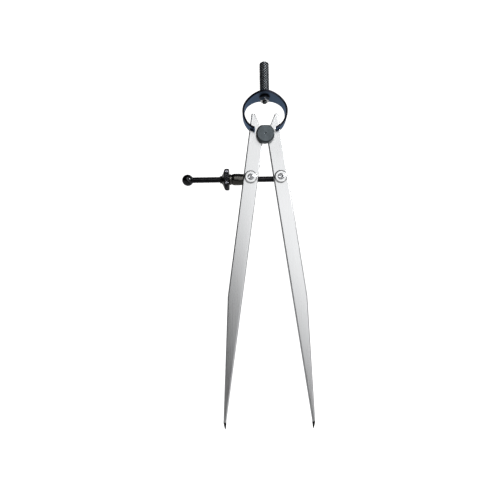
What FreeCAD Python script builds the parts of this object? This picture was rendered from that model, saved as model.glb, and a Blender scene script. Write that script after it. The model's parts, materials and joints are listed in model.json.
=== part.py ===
"""Spring divider: two flat pointed legs on a fulcrum stud, drawn in by a screw and nut against a bow spring.

Millimetres, +Z up. The origin lies midway between the two points, on the plane that they touch.
X runs across the legs, Y runs through them (the head of the fulcrum stud faces -Y).
"""
import FreeCAD, Part
import math
import os
import re
import Sketcher

DRIVING_SIZES = [
    # legs, each drawn hanging straight down from the fulcrum and then swung outwards
    ("leg_length", 200.0, "fulcrum centre to point"),
    ("leg_width", 10.0, "full width of the flat bar"),
    ("leg_thickness", 3.0, "bar thickness"),
    ("leg_gap", 0.95, "fulcrum centre to the inner edge"),
    ("leg_angle", 8.25, "inner edge from the vertical, as set"),
    ("taper_start", 111.0, "where the outer edge starts to taper"),
    ("taper_end", 195.0, "where the taper ends and the point begins"),
    ("point_width", 2.0, "width where the point begins"),
    ("grind_length", 14.0, "length over which both faces are ground down to the point"),
    ("grind_tip", 0.3, "thickness left at the very point"),
    ("horn_height", 13.2, "top of the horn above the fulcrum"),
    ("horn_width", 2.24, "width of the horn at its top"),
    ("horn_slope", 31.2, "inner edge of the horn from the leg's direction"),
    ("post_down", 29.3, "swivel post below the fulcrum, along the leg"),
    # fulcrum stud
    ("stud_radius", 4.0, "bearing that the legs ride on"),
    ("stud_head_radius", 6.15, "head in front of the legs"),
    ("stud_head_height", 3.0, "thickness of the head"),
    ("stud_flat", 5.4, "height of the flat on the head above the centre"),
    ("stud_tenon_radius", 2.5, "tenon that carries the back washer"),
    ("stud_washer_radius", 4.75, "back washer"),
    ("stud_washer_height", 1.5, "thickness of the back washer"),
    ("seat_clearance", 0.05, "radial running clearance of the seats and swivels"),
    ("side_clearance", 0.15, "gap between a leg's face and the heads and shoulders"),
    # bow spring
    ("spring_thick", 1.4, "strip thickness"),
    ("spring_reach", 14.4, "centre line of the strip from the middle, at its widest"),
    ("spring_rise", 11.8, "centre line of the crown above the widest level"),
    ("spring_level", 15.0, "widest level above the fulcrum"),
    ("shoulder_radius", 9.9, "centre line of the shoulders"),
    ("lower_radius", 13.1, "centre line of the lower arms"),
    ("spring_end", 3.3, "centre line of the strip's ends above the fulcrum"),
    ("crown_width", 15.0, "strip width at the crown"),
    ("arm_width", 8.5, "strip width along the arms"),
    ("arm_from", 12.5, "where the strip has narrowed to the arm width"),
    ("notch_depth", 3.0, "depth of the leg's notch from its outer edge"),
    ("notch_clearance", 0.12, "gap between the strip and the notch or fork"),
    # handle, its washer and nut
    ("handle_radius", 3.0, "grip"),
    ("handle_length", 21.4, "grip above the crown"),
    ("handle_dome", 0.9, "rounding at the top of the grip"),
    ("shank_radius", 1.5, "threaded shank below the grip"),
    ("shank_clearance", 0.1, "gap round the shank in the spring"),
    ("shank_past_nut", 0.8, "shank end below the nut"),
    ("washer_radius", 3.5, "washer under the crown"),
    ("washer_height", 0.5, "thickness of that washer"),
    ("washer_play", 0.02, "gap between the washer's rim and the crown"),
    ("hex_flats", 5.5, "hexagon nut across flats"),
    ("hex_height", 2.4, "hexagon nut height"),
    # swivel posts, one on each leg
    ("post_radius", 4.0, "post behind the leg"),
    ("post_length", 8.15, "post behind its shoulder"),
    ("post_chamfer", 0.5, "edge of the post's back end"),
    ("spigot_radius", 2.1, "spigot that turns in the leg"),
    ("tenon_radius", 1.6, "riveted end in the washer"),
    ("rivet_radius", 2.2, "riveted head"),
    ("rivet_height", 0.6, "riveted head"),
    ("post_washer_radius", 4.35, "washer in front of the leg"),
    ("post_washer_height", 0.8, "thickness of that washer"),
    ("post_flat", 3.6, "flat on the left post that the sleeve bears on, from the post's axis"),
    # adjusting screw, behind the legs
    ("screw_radius", 2.0, "thread, outside"),
    ("screw_depth", 5.8, "screw axis behind the legs' middle plane"),
    ("screw_reach", 63.7, "right post's axis to the middle of the ball"),
    ("screw_tail", 3.4, "screw past the right post's axis"),
    ("screw_chamfer", 0.4, "chamfer on the screw's ends"),
    ("thread_clearance", 0.05, "radial gap in the nut and in the right post"),
    ("bore_clearance", 0.2, "radial gap in the sleeve and in the left post"),
    ("ball_radius", 3.9, "ball on the screw's end"),
    ("sleeve_radius", 4.0, "barrel of the thrust sleeve"),
    ("sleeve_barrel", 9.2, "length of the barrel"),
    ("neck_radius", 3.7, "neck of the thrust sleeve"),
    ("neck_length", 1.8, "length of the neck"),
    ("nut_play", 0.1, "gap between the sleeve and the nut"),
    ("nut_radius", 7.45, "knurled rim of the nut"),
    ("rim_length", 3.3, "width of the rim"),
    ("cone_length", 1.7, "rim down to the hub"),
    ("hub_radius", 2.6, "hub of the nut"),
    ("hub_length", 1.4, "length of the hub"),
    ("edge_break", 0.4, "chamfer on turned edges"),
]
ALIASES = "|".join(sorted((row[0] for row in DRIVING_SIZES), key=len, reverse=True))

# the fulcrum's centre over the points, and the posts' axes at the set angle
FULCRUM = "(leg_length * cos(leg_angle) - leg_gap * sin(leg_angle))"
POST_ACROSS = "(leg_gap + leg_width / 2)"
POST_X = f"({POST_ACROSS} * cos(leg_angle) + post_down * sin(leg_angle))"
POST_Z = f"({FULCRUM} + {POST_ACROSS} * sin(leg_angle) - post_down * cos(leg_angle))"

# Y stations: the legs' faces lie half a thickness each side of zero
SHOULDER = "(leg_thickness / 2 + side_clearance)"

# the crown's radius makes it tangent to both shoulders
CROWN_RADIUS = (
    "(((spring_reach - shoulder_radius) ^ 2 + spring_rise ^ 2 - shoulder_radius ^ 2)"
    " / (2 * (spring_rise - shoulder_radius)))"
)
SHOULDER_X = "(spring_reach - shoulder_radius)"
LOWER_X = "(spring_reach - lower_radius)"
CROWN_DROP = f"({CROWN_RADIUS} - spring_rise)"
CROWN_TOP = f"({FULCRUM} + spring_level + spring_rise + spring_thick / 2)"
CROWN_UNDERSIDE = f"({CROWN_TOP} - spring_thick)"

# the washer's rim touches the hollow underside of the crown
INSIDE_CROWN = f"({CROWN_RADIUS} - spring_thick / 2)"
WASHER_TOP = (
    f"({CROWN_UNDERSIDE} - {INSIDE_CROWN}"
    f" + sqrt({INSIDE_CROWN} ^ 2 - washer_radius ^ 2) - washer_play)"
)
HEX_TOP = f"({WASHER_TOP} - washer_height)"
HEX_BOTTOM = f"({HEX_TOP} - hex_height)"

# X stations on the adjusting screw, from the left post outwards
BALL_X = f"({POST_X} - screw_reach)"
SLEEVE_RIGHT = f"(-{POST_X} - post_flat)"
SLEEVE_STEP = f"({SLEEVE_RIGHT} - sleeve_barrel)"
SLEEVE_LEFT = f"({SLEEVE_STEP} - neck_length)"
RIM_RIGHT = f"({SLEEVE_LEFT} - nut_play)"
RIM_LEFT = f"({RIM_RIGHT} - rim_length)"
CONE_LEFT = f"({RIM_LEFT} - cone_length)"
HUB_LEFT = f"({CONE_LEFT} - hub_length)"

doc = FreeCAD.newDocument("spring_divider")


def make_sheet():
    """The driving sizes, one row each."""
    sheet = doc.addObject("Spreadsheet::Sheet", "Sizes")
    for row, (alias, value, meaning) in enumerate(DRIVING_SIZES, 1):
        sheet.set(f"A{row}", alias)
        sheet.set(f"B{row}", str(value))
        sheet.set(f"C{row}", meaning)
        sheet.setAlias(f"B{row}", alias)
    doc.recompute()
    return sheet


sheet = make_sheet()


def linked(formula):
    """A formula in the sheet's aliases, as the document writes it."""
    return re.sub(rf"\b({ALIASES})\b", r"Sizes.\1", str(formula))


def number(formula):
    """The present value of a formula."""
    return float(sheet.evalExpression(linked(formula)))


def new_body(name):
    body = doc.addObject("PartDesign::Body", name)
    body.Label = name
    return body


def place(body, x="0", y="0", z="0", turn=None):
    """Puts a body at x, y, z, turned about +Y by a formula in degrees."""
    if turn is not None:
        axis = FreeCAD.Vector(0, 1, 0)
        body.Placement = FreeCAD.Placement(FreeCAD.Vector(), FreeCAD.Rotation(axis, 1))
        body.setExpression("Placement.Rotation.Angle", linked(turn))
    for letter, formula in zip("xyz", (x, y, z)):
        body.setExpression(f"Placement.Base.{letter}", linked(formula))


def new_sketch(body, plane, name):
    """An empty sketch on one of the body's own origin planes."""
    sketch = body.newObject("Sketcher::SketchObject", name)
    support = next(o for o in body.Origin.OriginFeatures if o.Role == plane)
    sketch.AttachmentSupport = [(support, "")]
    sketch.MapMode = "FlatFace"
    return sketch


def fix_point(sketch, edge, end, x, y):
    """Holds one end of an edge at x, y from the sketch's origin."""
    for kind, formula in (("DistanceX", x), ("DistanceY", y)):
        value = number(formula)
        if abs(value) < 1e-9:
            axis = -2 if kind == "DistanceX" else -1
            sketch.addConstraint(Sketcher.Constraint("PointOnObject", edge, end, axis))
            continue
        index = sketch.addConstraint(Sketcher.Constraint(kind, -1, 1, edge, end, value))
        sketch.setExpression(f"Constraints[{index}]", linked(formula))


def arc_between(start, end, radius):
    """The shorter arc; a positive radius bulges to the left of the way from start to end."""
    chord = end - start
    half = chord.Length / 2
    rise = abs(radius) - math.sqrt(radius ** 2 - half ** 2)
    left = FreeCAD.Vector(-chord.y, chord.x, 0).normalize()
    middle = (start + end) * 0.5 + left * math.copysign(rise, radius)
    return Part.Arc(start, middle, end)


def outline(body, plane, name, *loops):
    """A sketch of closed loops. A corner is (x, y), or (x, y, radius) where an arc ends."""
    sketch = new_sketch(body, plane, name)
    for corners in loops:
        points = [FreeCAD.Vector(number(c[0]), number(c[1]), 0) for c in corners]
        ends = []
        for index, corner in enumerate(corners):
            start, end = points[index - 1], points[index]
            if len(corner) == 2:
                edge = sketch.addGeometry(Part.LineSegment(start, end))
            else:
                edge = sketch.addGeometry(arc_between(start, end, number(corner[2])))
            forward = (sketch.getPoint(edge, 1) - start).Length < 1e-6
            ends.append((edge, 1, 2) if forward else (edge, 2, 1))
        for index, corner in enumerate(corners):
            edge, first, last = ends[index]
            following, opening, _ = ends[(index + 1) % len(ends)]
            sketch.addConstraint(Sketcher.Constraint("Coincident", edge, last, following, opening))
            fix_point(sketch, edge, last, corner[0], corner[1])
            if len(corner) == 3:
                size = abs(number(corner[2]))
                held = sketch.addConstraint(Sketcher.Constraint("Radius", edge, size))
                sketch.setExpression(f"Constraints[{held}]", linked(f"abs({corner[2]})"))
    return sketch


def circle(body, plane, name, x, y, radius):
    """A sketch of one circle."""
    sketch = new_sketch(body, plane, name)
    middle = FreeCAD.Vector(number(x), number(y), 0)
    normal = FreeCAD.Vector(0, 0, 1)
    edge = sketch.addGeometry(Part.Circle(middle, normal, number(radius)))
    fix_point(sketch, edge, 3, x, y)
    held = sketch.addConstraint(Sketcher.Constraint("Radius", edge, number(radius)))
    sketch.setExpression(f"Constraints[{held}]", linked(radius))
    return sketch


def pad(body, sketch, length):
    """A pad to both sides of its sketch."""
    feature = body.newObject("PartDesign::Pad", f"{sketch.Name}_pad")
    feature.Profile = sketch
    feature.Midplane = True
    feature.setExpression("Length", linked(length))
    doc.recompute()
    return feature


def pocket(body, sketch, length):
    """A pocket to both sides of its sketch; it has to take something away."""
    before = body.Shape.Volume
    feature = body.newObject("PartDesign::Pocket", f"{sketch.Name}_pocket")
    feature.Profile = sketch
    feature.Midplane = True
    feature.setExpression("Length", linked(length))
    doc.recompute()
    if body.Shape.Volume > before - 1e-6:
        raise RuntimeError(f"{feature.Name} cuts nothing")
    return feature


def revolve(body, plane, name, corners, axis):
    """A solid turned from a half section about the sketch's H or V axis."""
    sketch = outline(body, plane, name, corners)
    feature = body.newObject("PartDesign::Revolution", f"{name}_turned")
    feature.Profile = sketch
    feature.ReferenceAxis = (sketch, [axis])
    feature.Angle = 360.0
    doc.recompute()
    return feature


def turned_on_y(body, name, corners):
    """Corners are (radius, y)."""
    return revolve(body, "XY_Plane", name, corners, "V_Axis")


def turned_on_x(body, name, corners):
    """Corners are (x, radius)."""
    return revolve(body, "XY_Plane", name, corners, "H_Axis")


def make_leg(name, side):
    """A flat leg, drawn hanging down from the fulcrum; side is 1 for the right leg, -1 for the left."""
    body = new_body(name)

    def across(formula):
        return f"{side} * ({formula})"

    outer = "leg_gap + leg_width"
    seat = "stud_radius + seat_clearance"
    # the horn's inner edge runs down to the round seat; distance from the horn's foot to the centre line
    horn_x = f"({outer} - horn_width)"
    slope_away = f"({horn_x} * cos(horn_slope) - horn_height * sin(horn_slope))"
    slope_along = f"sqrt(({seat}) ^ 2 - {slope_away} ^ 2)"
    foot_x = f"({slope_away} * cos(horn_slope) + {slope_along} * sin(horn_slope))"
    foot_z = f"({slope_along} * cos(horn_slope) - {slope_away} * sin(horn_slope))"
    corners = [
        (across("leg_gap"), f"-sqrt(({seat}) ^ 2 - leg_gap ^ 2)"),
        (across("leg_gap"), "-leg_length"),
        (across("leg_gap + point_width"), "-taper_end"),
        (across(outer), "-taper_start"),
        (across(outer), "horn_height"),
        (across(horn_x), "horn_height"),
        (across(foot_x), foot_z),
    ]
    # the seat arc closes the loop at the inner edge and bulges outwards
    corners[0] = (*corners[0], f"{side} * ({seat})")
    pad(body, outline(body, "XZ_Plane", f"{name}_profile", corners), "leg_thickness")

    hole = circle(
        body, "XZ_Plane", f"{name}_pivot",
        across(POST_ACROSS), "-post_down", "spigot_radius + seat_clearance",
    )
    pocket(body, hole, "2 * leg_thickness")

    # the notch follows the lower arm of the spring, seen from the leg's own axes
    centre_x = f"({LOWER_X} * cos(leg_angle) + spring_level * sin(leg_angle))"
    centre_z = f"(spring_level * cos(leg_angle) - {LOWER_X} * sin(leg_angle))"
    near = "(lower_radius - spring_thick / 2 - notch_clearance)"
    far = "(lower_radius + spring_thick / 2 + notch_clearance)"
    bottom_x = f"({outer} - notch_depth)"
    beyond_x = f"({outer} + 1)"

    def on_ring(radius, x):
        return f"{centre_z} - sqrt({radius} ^ 2 - ({x} - {centre_x}) ^ 2)"

    notch = outline(
        body, "XZ_Plane", f"{name}_notch",
        [
            (across(bottom_x), on_ring(far, bottom_x)),
            (across(beyond_x), on_ring(far, beyond_x), f"{-side} * {far}"),
            (across(beyond_x), on_ring(near, beyond_x)),
            (across(bottom_x), on_ring(near, bottom_x), f"{side} * {near}"),
        ],
    )
    pocket(body, notch, "2 * leg_thickness")

    # both faces are ground down towards the point
    half, thin = "leg_thickness / 2", "grind_tip / 2"
    top, tip = "-(leg_length - grind_length)", "-leg_length"
    grind = outline(
        body, "YZ_Plane", f"{name}_grind",
        [(half, top), (f"{half} + 1", top), (f"{half} + 1", f"{tip} - 1"), (thin, f"{tip} - 1"), (thin, tip)],
        [(f"-{half}", top), (f"-{half} - 1", top), (f"-{half} - 1", f"{tip} - 1"), (f"-{thin}", f"{tip} - 1"),
         (f"-{thin}", tip)],
    )
    pocket(body, grind, "4 * leg_width")
    place(body, z=FULCRUM, turn=f"{-side} * leg_angle")
    return body


def make_bow_spring():
    """A bent strip: crown, two shoulders and two lower arms, narrowed along the arms and forked at its ends."""
    body = new_body("bow_spring")

    def strip_side(offset):
        """Corners on the right half, from the end up to the crown, at an offset from the centre line."""
        lower = f"(lower_radius + {offset})"
        shoulder = f"(shoulder_radius + {offset})"
        drop = "((spring_level - spring_end) / lower_radius)"
        end_x = f"({LOWER_X} + {lower} * sqrt(1 - {drop} ^ 2))"
        end_z = f"(spring_level - {lower} * {drop})"
        join = f"({CROWN_RADIUS} + {offset}) / ({CROWN_RADIUS} - shoulder_radius)"
        join_x = f"({SHOULDER_X} * {join})"
        join_z = f"(spring_level - {CROWN_DROP} + {CROWN_DROP} * {join})"
        widest_x = f"(spring_reach + {offset})"
        return end_x, end_z, widest_x, join_x, join_z, lower, shoulder

    out = strip_side("spring_thick / 2")
    inn = strip_side("-spring_thick / 2")
    crown_out = f"({CROWN_RADIUS} + spring_thick / 2)"
    crown_in = f"({CROWN_RADIUS} - spring_thick / 2)"
    corners = [
        # outside, right end round to the left end
        (out[0], out[1]),
        (out[2], "spring_level", f"-{out[5]}"),
        (out[3], out[4], f"-{out[6]}"),
        (f"-{out[3]}", out[4], f"-{crown_out}"),
        (f"-{out[2]}", "spring_level", f"-{out[6]}"),
        (f"-{out[0]}", out[1], f"-{out[5]}"),
        # inside, back again
        (f"-{inn[0]}", inn[1]),
        (f"-{inn[2]}", "spring_level", inn[5]),
        (f"-{inn[3]}", inn[4], inn[6]),
        (inn[3], inn[4], crown_in),
        (inn[2], "spring_level", inn[6]),
        (inn[0], inn[1], inn[5]),
    ]
    pad(body, outline(body, "XZ_Plane", "strip", corners), "crown_width")

    # seen from above, the strip narrows from the crown to the arms
    wide, narrow, far = "crown_width / 2", "arm_width / 2", "spring_reach + spring_thick + 1"
    waste = []
    for x_sign in (1, -1):
        for y_sign in (1, -1):
            waste.append([
                ("0", f"{y_sign} * ({wide} + 1)"),
                ("0", f"{y_sign} * ({wide})"),
                (f"{x_sign} * arm_from", f"{y_sign} * ({narrow})"),
                (f"{x_sign} * ({far})", f"{y_sign} * ({narrow})"),
                (f"{x_sign} * ({far})", f"{y_sign} * ({wide} + 1)"),
            ])
    for index, loop in enumerate(waste, 1):
        pocket(body, outline(body, "XY_Plane", f"narrowing_{index}", loop), "8 * spring_level")

    hole = circle(body, "XY_Plane", "shank_hole", "0", "0", "shank_radius + shank_clearance")
    pocket(body, hole, "8 * spring_level")

    # each end is forked, so that it straddles the leg from the bottom of the leg's notch inwards
    for name, side in (("right_fork", 1), ("left_fork", -1)):
        fork = body.newObject("PartDesign::SubtractiveBox", name)
        width = "leg_thickness + 2 * notch_clearance"
        bottom = "(leg_gap + leg_width - notch_depth)"
        lowest = "(spring_end - spring_thick / 2)"
        reach = f"(({bottom} - {lowest} * sin(leg_angle)) / cos(leg_angle) + notch_clearance)"
        fork.setExpression("Length", linked(reach))
        fork.setExpression("Width", linked(width))
        fork.setExpression("Height", linked("spring_end + 2 * spring_thick"))
        fork.setExpression("Placement.Base.x", linked("0" if side > 0 else f"-{reach}"))
        fork.setExpression("Placement.Base.y", linked(f"-({width}) / 2"))
        doc.recompute()
    place(body, z=FULCRUM)
    return body


def make_handle():
    """Round grip with a thinner shank that passes through the crown."""
    body = new_body("handle")
    end = f"({HEX_BOTTOM} - shank_past_nut)"
    top = f"({CROWN_TOP} + handle_length)"
    corners = [
        ("0", end),
        ("shank_radius - edge_break / 2", end),
        ("shank_radius", f"{end} + edge_break / 2"),
        ("shank_radius", CROWN_TOP),
        ("handle_radius - edge_break / 2", CROWN_TOP),
        ("handle_radius", f"{CROWN_TOP} + edge_break / 2"),
        ("handle_radius", f"{top} - handle_dome"),
        ("handle_radius - handle_dome", top, "handle_dome"),
        ("0", top),
    ]
    revolve(body, "XZ_Plane", "handle_section", corners, "V_Axis")
    place(body)
    return body


def make_handle_washer():
    body = new_body("handle_washer")
    corners = [
        ("shank_radius", HEX_TOP),
        ("washer_radius", HEX_TOP),
        ("washer_radius", WASHER_TOP),
        ("shank_radius", WASHER_TOP),
    ]
    revolve(body, "XZ_Plane", "handle_washer_section", corners, "V_Axis")
    place(body)
    return body


def make_handle_nut():
    """Hexagon nut on the shank, with two corners facing front and back."""
    body = new_body("handle_nut")
    prism = body.newObject("PartDesign::AdditivePrism", "hexagon")
    prism.Polygon = 6
    prism.setExpression("Circumradius", linked("hex_flats / sqrt(3)"))
    prism.setExpression("Height", linked("hex_height"))
    prism.Placement = FreeCAD.Placement(FreeCAD.Vector(), FreeCAD.Rotation(FreeCAD.Vector(0, 0, 1), 30))
    doc.recompute()
    pocket(body, circle(body, "XY_Plane", "hex_bore", "0", "0", "shank_radius"), "4 * hex_height")
    place(body, z=HEX_BOTTOM)
    return body


def make_fulcrum_stud():
    """Headed stud, spun over behind its washer, with a flat on top of the head."""
    body = new_body("fulcrum_stud")
    head = f"-({SHOULDER} + stud_head_height)"
    back = f"({SHOULDER} + stud_washer_height)"
    corners = [
        ("0", head),
        ("stud_head_radius - edge_break", head),
        ("stud_head_radius", f"{head} + edge_break"),
        ("stud_head_radius", f"-{SHOULDER}"),
        ("stud_radius", f"-{SHOULDER}"),
        ("stud_radius", SHOULDER),
        ("stud_tenon_radius", SHOULDER),
        ("stud_tenon_radius", back),
        ("stud_tenon_radius + edge_break", back),
        ("stud_tenon_radius", f"{back} + 2 * edge_break"),
        ("0", f"{back} + 2 * edge_break"),
    ]
    turned_on_y(body, "stud_section", corners)
    before = body.Shape.Volume
    flat = body.newObject("PartDesign::SubtractiveBox", "head_flat")
    flat.setExpression("Length", linked("2 * stud_head_radius"))
    flat.setExpression("Width", linked("stud_head_height"))
    flat.setExpression("Height", linked("stud_head_radius"))
    flat.setExpression("Placement.Base.x", linked("-stud_head_radius"))
    flat.setExpression("Placement.Base.y", linked(head))
    flat.setExpression("Placement.Base.z", linked("stud_flat"))
    doc.recompute()
    if body.Shape.Volume > before - 1e-6:
        raise RuntimeError("the flat cuts nothing")
    place(body, z=FULCRUM)
    return body


def make_fulcrum_washer():
    body = new_body("fulcrum_washer")
    back = f"({SHOULDER} + stud_washer_height)"
    corners = [
        ("stud_tenon_radius", SHOULDER),
        ("stud_washer_radius", SHOULDER),
        ("stud_washer_radius", f"{back} - edge_break / 2"),
        ("stud_washer_radius - edge_break / 2", back),
        ("stud_tenon_radius", back),
    ]
    turned_on_y(body, "fulcrum_washer_section", corners)
    place(body, z=FULCRUM)
    return body


def make_swivel_post(name, side, bore):
    """Post that turns in the leg; the screw crosses it. The left one has a flat for the sleeve."""
    body = new_body(name)
    back = f"({SHOULDER} + post_length)"
    washer = f"({SHOULDER} + post_washer_height)"
    corners = [
        ("0", f"-({washer} + rivet_height)"),
        ("rivet_radius - rivet_height", f"-({washer} + rivet_height)"),
        ("rivet_radius", f"-{washer}", "-rivet_height"),
        ("tenon_radius", f"-{washer}"),
        ("tenon_radius", f"-{SHOULDER}"),
        ("spigot_radius", f"-{SHOULDER}"),
        ("spigot_radius", SHOULDER),
        ("post_radius", SHOULDER),
        ("post_radius", f"{back} - post_chamfer"),
        ("post_radius - post_chamfer", back),
        ("0", back),
    ]
    turned_on_y(body, f"{name}_section", corners)
    cross = circle(body, "YZ_Plane", f"{name}_bore", "screw_depth", "0", bore)
    pocket(body, cross, "4 * post_radius")
    if side < 0:
        before = body.Shape.Volume
        flat = body.newObject("PartDesign::SubtractiveBox", f"{name}_flat")
        flat.setExpression("Length", linked("post_radius"))
        flat.setExpression("Width", linked("post_length"))
        flat.setExpression("Height", linked("2 * post_radius"))
        flat.setExpression("Placement.Base.x", linked("-post_flat - post_radius"))
        flat.setExpression("Placement.Base.y", linked(SHOULDER))
        flat.setExpression("Placement.Base.z", linked("-post_radius"))
        doc.recompute()
        if body.Shape.Volume > before - 1e-6:
            raise RuntimeError("the flat cuts nothing")
    place(body, x=f"{side} * {POST_X}", z=POST_Z)
    return body


def make_swivel_washer(name, side):
    body = new_body(name)
    front = f"-({SHOULDER} + post_washer_height)"
    corners = [
        ("tenon_radius", front),
        ("post_washer_radius - edge_break / 2", front),
        ("post_washer_radius", f"{front} + edge_break / 2"),
        ("post_washer_radius", f"-{SHOULDER}"),
        ("tenon_radius", f"-{SHOULDER}"),
    ]
    turned_on_y(body, f"{name}_section", corners)
    place(body, x=f"{side} * {POST_X}", z=POST_Z)
    return body


def make_adjusting_screw():
    """Long screw, from inside the ball to inside the right post."""
    body = new_body("adjusting_screw")
    right = f"({POST_X} + screw_tail)"
    corners = [
        (BALL_X, "0"),
        (BALL_X, "screw_radius - screw_chamfer"),
        (f"{BALL_X} + screw_chamfer", "screw_radius"),
        (f"{right} - screw_chamfer", "screw_radius"),
        (right, "screw_radius - screw_chamfer"),
        (right, "0"),
    ]
    turned_on_x(body, "screw_section", corners)
    place(body, y="screw_depth", z=POST_Z)
    return body


def make_ball_knob():
    """Ball with a blind bore as deep as its middle."""
    body = new_body("ball_knob")
    mouth = "sqrt(ball_radius ^ 2 - screw_radius ^ 2)"
    corners = [
        ("-ball_radius", "0"),
        ("0", "ball_radius", "ball_radius"),
        (mouth, "screw_radius", "ball_radius"),
        ("0", "screw_radius"),
        ("0", "0"),
    ]
    turned_on_x(body, "ball_section", corners)
    place(body, x=BALL_X, y="screw_depth", z=POST_Z)
    return body


def make_thrust_sleeve():
    """Plain sleeve between the nut and the left post."""
    body = new_body("thrust_sleeve")
    bore = "screw_radius + bore_clearance"
    corners = [
        (SLEEVE_RIGHT, bore),
        (SLEEVE_RIGHT, "sleeve_radius - edge_break"),
        (f"{SLEEVE_RIGHT} - edge_break", "sleeve_radius"),
        (f"{SLEEVE_STEP} + edge_break", "sleeve_radius"),
        (SLEEVE_STEP, "sleeve_radius - edge_break"),
        (SLEEVE_STEP, "neck_radius - edge_break"),
        (f"{SLEEVE_STEP} - edge_break", "neck_radius"),
        (SLEEVE_LEFT, "neck_radius"),
        (SLEEVE_LEFT, bore),
    ]
    turned_on_x(body, "sleeve_section", corners)
    place(body, y="screw_depth", z=POST_Z)
    return body


def make_adjusting_nut():
    """Nut with a wide rim and a cone down to a short hub."""
    body = new_body("adjusting_nut")
    bore = "screw_radius + thread_clearance"
    corners = [
        (RIM_RIGHT, bore),
        (RIM_RIGHT, "nut_radius - edge_break"),
        (f"{RIM_RIGHT} - edge_break", "nut_radius"),
        (f"{RIM_LEFT} + edge_break", "nut_radius"),
        (RIM_LEFT, "nut_radius - edge_break"),
        (CONE_LEFT, "hub_radius"),
        (HUB_LEFT, "hub_radius"),
        (HUB_LEFT, bore),
    ]
    turned_on_x(body, "nut_section", corners)
    place(body, y="screw_depth", z=POST_Z)
    return body


def check_document():
    """No object may have failed."""
    doc.recompute()
    for item in doc.Objects:
        if "Invalid" in item.State or "Error" in item.State:
            raise RuntimeError(f"{item.Name}: {item.State}")


def export(bodies):
    """Writes each sub-part to its own file."""
    for body in bodies:
        shape = body.Shape
        if shape.isNull() or not shape.isValid() or len(shape.Solids) != 1:
            raise RuntimeError(f"{body.Label} is not one valid solid")
    os.makedirs("parts", exist_ok=True)
    for body in bodies:
        body.Shape.exportStep(f"parts/{body.Label}.step")
        print(f"{body.Label}: {body.Shape.Volume:.2f} mm3")


subparts = [
    make_bow_spring(),
    make_handle(),
    make_handle_washer(),
    make_handle_nut(),
    make_fulcrum_stud(),
    make_fulcrum_washer(),
    make_leg("left_leg", -1),
    make_leg("right_leg", 1),
    make_swivel_post("left_swivel_post", -1, "screw_radius + bore_clearance"),
    make_swivel_post("right_swivel_post", 1, "screw_radius + thread_clearance"),
    make_swivel_washer("left_swivel_washer", -1),
    make_swivel_washer("right_swivel_washer", 1),
    make_adjusting_screw(),
    make_ball_knob(),
    make_thrust_sleeve(),
    make_adjusting_nut(),
]
check_document()
export(subparts)
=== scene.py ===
"""Spring divider: the looks of each piece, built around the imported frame."""

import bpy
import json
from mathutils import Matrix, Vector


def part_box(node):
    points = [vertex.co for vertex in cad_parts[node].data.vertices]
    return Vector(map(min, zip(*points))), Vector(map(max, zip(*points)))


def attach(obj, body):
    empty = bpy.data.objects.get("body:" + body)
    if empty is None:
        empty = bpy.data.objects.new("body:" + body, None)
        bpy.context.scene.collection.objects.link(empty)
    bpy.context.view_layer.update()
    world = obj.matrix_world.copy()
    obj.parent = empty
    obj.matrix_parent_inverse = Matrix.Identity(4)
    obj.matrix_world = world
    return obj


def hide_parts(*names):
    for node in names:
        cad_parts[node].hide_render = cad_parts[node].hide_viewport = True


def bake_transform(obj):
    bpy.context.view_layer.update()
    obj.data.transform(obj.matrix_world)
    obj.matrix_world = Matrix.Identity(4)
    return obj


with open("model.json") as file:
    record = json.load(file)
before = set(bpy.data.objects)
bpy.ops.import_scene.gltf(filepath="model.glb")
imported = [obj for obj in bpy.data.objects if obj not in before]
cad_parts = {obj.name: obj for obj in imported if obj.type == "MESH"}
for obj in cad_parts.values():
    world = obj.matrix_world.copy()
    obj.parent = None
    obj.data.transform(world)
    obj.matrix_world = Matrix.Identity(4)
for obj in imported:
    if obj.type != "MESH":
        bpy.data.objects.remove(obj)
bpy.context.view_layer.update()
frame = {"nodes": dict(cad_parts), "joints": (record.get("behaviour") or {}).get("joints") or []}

import json
import math

import bmesh
import bpy
from bpy.props import FloatProperty, FloatVectorProperty, IntProperty, PointerProperty
from mathutils import Matrix, Vector

bl_info = {
    "name": "Spring Divider",
    "version": (1, 0, 0),
    "blender": (4, 5, 0),
    "location": "3D View > Sidebar > Divider",
    "description": "Builds the pieces of a spring divider around its packed frame",
    "category": "Add Mesh",
}

MM = 0.001
ROUND_SEGMENTS = 96  # round a turned piece
FINE_SEGMENTS = 128  # round the stud and the adjusting nut
CORNER_STEPS = 3  # round a small corner
CORNER_SHARE = 0.45  # the most of a side that a rounded corner takes


# Places, all read from the frame

def joint_place(name):
    """Where a joint's axis is, at rest."""
    return Vector(next(j["pos_m"] for j in frame["joints"] if j["name"] == name))


FULCRUM = joint_place("left_leg_swing")
LEFT_POST = joint_place("left_post_swivel")
RIGHT_POST = joint_place("right_post_swivel")
BOXES = {name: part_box(name) for name in frame["nodes"]}
SCREW_AXIS = (BOXES["adjusting_screw"][0] + BOXES["adjusting_screw"][1]) / 2
SCREW_AXIS.x = 0.0
LEG_FACE = BOXES["left_leg"][1].y
LEG_TIP = Vector((BOXES["right_leg"][1].x, 0, 0))

# Sizes that several pieces share
SEAT = 1.65 * MM  # from a leg's middle plane to the shoulders that turn against its faces
SHANK_RADIUS = 1.5 * MM  # the handle's shank, and the bores of what it passes through

def length_property(name, description, millimetres):
    """A size that a user can change, in metres."""
    return FloatProperty(
        name=name, description=description, default=millimetres * MM,
        min=0.0, precision=5, unit="LENGTH",
    )


def colour_property(name, description, colour):
    """A finish's base colour."""
    return FloatVectorProperty(
        name=name, description=description, default=colour, size=3, min=0.0, max=1.0, subtype="COLOR",
    )


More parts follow.
